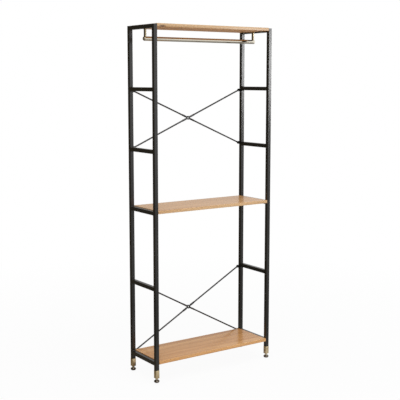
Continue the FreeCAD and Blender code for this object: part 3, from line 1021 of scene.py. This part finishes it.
for corner, place in post_places.items():
    low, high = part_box(corner + "_foot_sleeve")
    sleeve = add_block(corner + "_ferrule", low, high)
    begin(sleeve)
    middle_z = (low.z + high.z) / 2
    pick(sleeve, "EDGE", lambda middle, edge: abs(middle.z - middle_z) < 1e-5)
    bpy.ops.mesh.bevel(offset=sleeve_corner, segments=6, affect="EDGES")
    pick(sleeve, "EDGE", lambda middle, edge: abs(middle.z - low.z) < 1e-6)
    bpy.ops.mesh.bevel(offset=sleeve_bottom_round, segments=3, affect="EDGES")
    pick(sleeve, "EDGE", lambda middle, edge: abs(middle.z - high.z) < 1e-6)
    bpy.ops.mesh.bevel(offset=sleeve_lip, segments=2, affect="EDGES")
    pick(sleeve, "FACE", lambda middle, face: face.normal.z > 0.9 and abs(middle.z - high.z) < 1e-6)
    bpy.ops.mesh.inset(thickness=sleeve_wall - sleeve_lip)
    extrude_up(low.z + sleeve_floor - high.z)
    bpy.ops.object.mode_set(mode="OBJECT")
    hole = add_rod("hole", sleeve_hole, low.z - hole_below, low.z + hole_above)
    hole.location = place
    bpy.ops.object.transform_apply(location=True, rotation=True, scale=True)
    cut(sleeve, hole)
    settle(sleeve, "sleeve_brass", replaced=[corner + "_foot_sleeve"])

# %% [markdown]
# ## Lock nuts
# A thin hex nut on each foot's screw jams against the sleeve from below and keeps the foot at
# its height. It is the same hex stock as the brace nuts, only flatter, so the same helper
# makes it. One nut is modelled on the Z axis and copied under the four posts.

# %% Model the lock nuts
nut_low, nut_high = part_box("foot_lock_nuts")
flat_to_corner = math.cos(math.pi / 6)
lock_nut_half = 0.0065
lock_nut_chamfer = 0.0007
lock_nut_bore = 0.00405

lock_nut = add_hex("lock_nut", lock_nut_half / flat_to_corner, nut_low.z, nut_high.z,
                   lock_nut_chamfer, lock_nut_bore)
lock_nuts = join_copies(lock_nut, "foot_jam_nuts",
                        [Matrix.Translation(place) for place in post_places.values()])
settle(lock_nuts, "plated_steel", replaced=["foot_lock_nuts"], angle=25)

# %% [markdown]
# ## Threaded studs
# A threaded stud carries each pad, and the stud's small hexagon takes a spanner. A bump
# texture could hint at a thread, but it would only spin in place. Here the thread is real: the
# Screw modifier sweeps one tooth of the outline round and up. So when the stud turns, the
# thread visibly winds out of the nut.

# %% Cut the thread
stud_low, stud_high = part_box("front_left_foot_stud")
pad_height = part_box("front_left_foot_pad")[1].z
hex_gap = 0.0002
hex_bottom = pad_height + hex_gap
hex_top = nut_low.z
thread_pitch = 0.00125
thread_radius = 0.00396
thread_root = 0.0033
thread_overlap = 0.0006
thread_start = hex_top - thread_overlap
thread_turns = round((stud_high.z - hex_top) / thread_pitch)
thread_steps = 28

tooth = [(thread_root, 0), (thread_root, 0.13), (thread_radius, 0.43), (thread_radius, 0.57),
         (thread_root, 0.87), (thread_root, 1)]
tooth_outline = [(radius, thread_start + share * thread_pitch) for radius, share in tooth]
thread = draw_outline("thread", tooth_outline)
bpy.ops.object.mode_set(mode="OBJECT")
winding = thread.modifiers.new("thread", "SCREW")
winding.axis = "Z"
winding.angle = 2 * math.pi
winding.screw_offset = thread_pitch
winding.iterations = thread_turns
winding.steps = thread_steps
winding.render_steps = thread_steps
winding.use_merge_vertices = True
winding.merge_threshold = 1e-6
bpy.ops.object.modifier_apply(modifier="thread")
begin(thread)
bpy.ops.mesh.select_all(action="SELECT")
bpy.ops.mesh.remove_doubles(threshold=1e-6)
bpy.ops.mesh.fill_holes(sides=0)
bpy.ops.mesh.select_all(action="SELECT")
bpy.ops.mesh.normals_make_consistent(inside=False)
bpy.ops.object.mode_set(mode="OBJECT")
print("thread with", thread_turns, "turns from", thread_start)

# %% Model the studs
spanner_half = 0.0055
spanner_chamfer = 0.0006
neck_radius = 0.0035
neck_overlap = 0.001

spanner_hex = add_hex("spanner_hex", spanner_half / flat_to_corner, hex_bottom, hex_top, spanner_chamfer)
neck = add_rod("neck", neck_radius, stud_low.z, hex_bottom + neck_overlap)
bpy.ops.object.select_all(action="DESELECT")
for piece in (thread, spanner_hex, neck):
    piece.select_set(True)
bpy.context.view_layer.objects.active = thread
bpy.ops.object.join()
for corner, place in post_places.items():
    stud = set_aside(thread, corner + "_foot_screw", Matrix.Translation(place))
    settle(stud, "plated_steel", body=corner + "_stud", replaced=[corner + "_foot_stud"], angle=30)
bpy.data.objects.remove(thread)

# %% [markdown]
# ## Foot pads
# The pad is a dark polished dome on a thin black sole that spares the floor. Both are turned
# like the rail. The dome's side bulges from the base to the rim and rolls in to the crown, and
# two plain arcs would leave a kink where they meet. So the side is drawn with two curves that
# are told where to start and end and at which angle, and both have the same angle at the rim.

# %% Draw the outlines of pad and sole
sole_height = 0.0012
sole_radius = 0.0105
sole_chamfer = 0.0004
base_radius = 0.0112
rim_radius = 0.014
rim_height = 0.0075
crown_radius = 0.007
socket_radius = 0.0036
socket_floor = 0.0055
curve_pull = 0.4


def heading(degrees):
    """A step of length one at an angle."""
    return Vector((math.cos(math.radians(degrees)), math.sin(math.radians(degrees))))


def swept(start, end, turn_start, turn_end, count):
    """Points of a curve between two corners that leaves and arrives at given angles, in degrees."""
    start, end = Vector(start), Vector(end)
    pull = curve_pull * (end - start).length
    leave = start + pull * heading(turn_start)
    arrive = end - pull * heading(turn_end)
    return interpolate_bezier(start, leave, arrive, end, count + 1)


pad_outline = [(0, sole_height)]
pad_outline += swept((base_radius, sole_height), (rim_radius, rim_height), 20, 95, 8)
pad_outline += swept((rim_radius, rim_height), (crown_radius, pad_height), 95, 175, 10)[1:]
pad_outline += [(socket_radius, pad_height), (socket_radius, socket_floor), (0, socket_floor)]
sole_outline = [(0, 0), (sole_radius - sole_chamfer, 0), (sole_radius, sole_chamfer)]
sole_outline += [(sole_radius, sole_height), (0, sole_height)]
print("pad outline with", len(pad_outline), "points, sole outline with", len(sole_outline))

# %% Turn the pads and their soles
pad = turn(draw_outline("pad", pad_outline), axis=(0, 0, 1))
sole = turn(draw_outline("sole", sole_outline), axis=(0, 0, 1))
for corner, place in post_places.items():
    there = Matrix.Translation(place)
    dome = set_aside(pad, corner + "_foot_dome", there)
    settle(dome, "foot_metal", body=corner + "_pad", replaced=[corner + "_foot_pad"])
    disc = set_aside(sole, corner + "_foot_sole", there)
    settle(disc, "black_plastic", body=corner + "_pad")
bpy.data.objects.remove(pad)
bpy.data.objects.remove(sole)

# %% [markdown]
# ## Dress the remaining nodes
# Tubes, tabs, rods, rings, lugs, plates and inserts keep their CAD shape and only get their
# finish.

# %% Dress the CAD nodes
for subpart in frame["record"]["subparts"]:
    node = nodes[subpart["node"]]
    node.data.materials.clear()
    node.data.materials.append(finishes[subpart["material_slot"]])
print("dressed", len(nodes), "nodes")
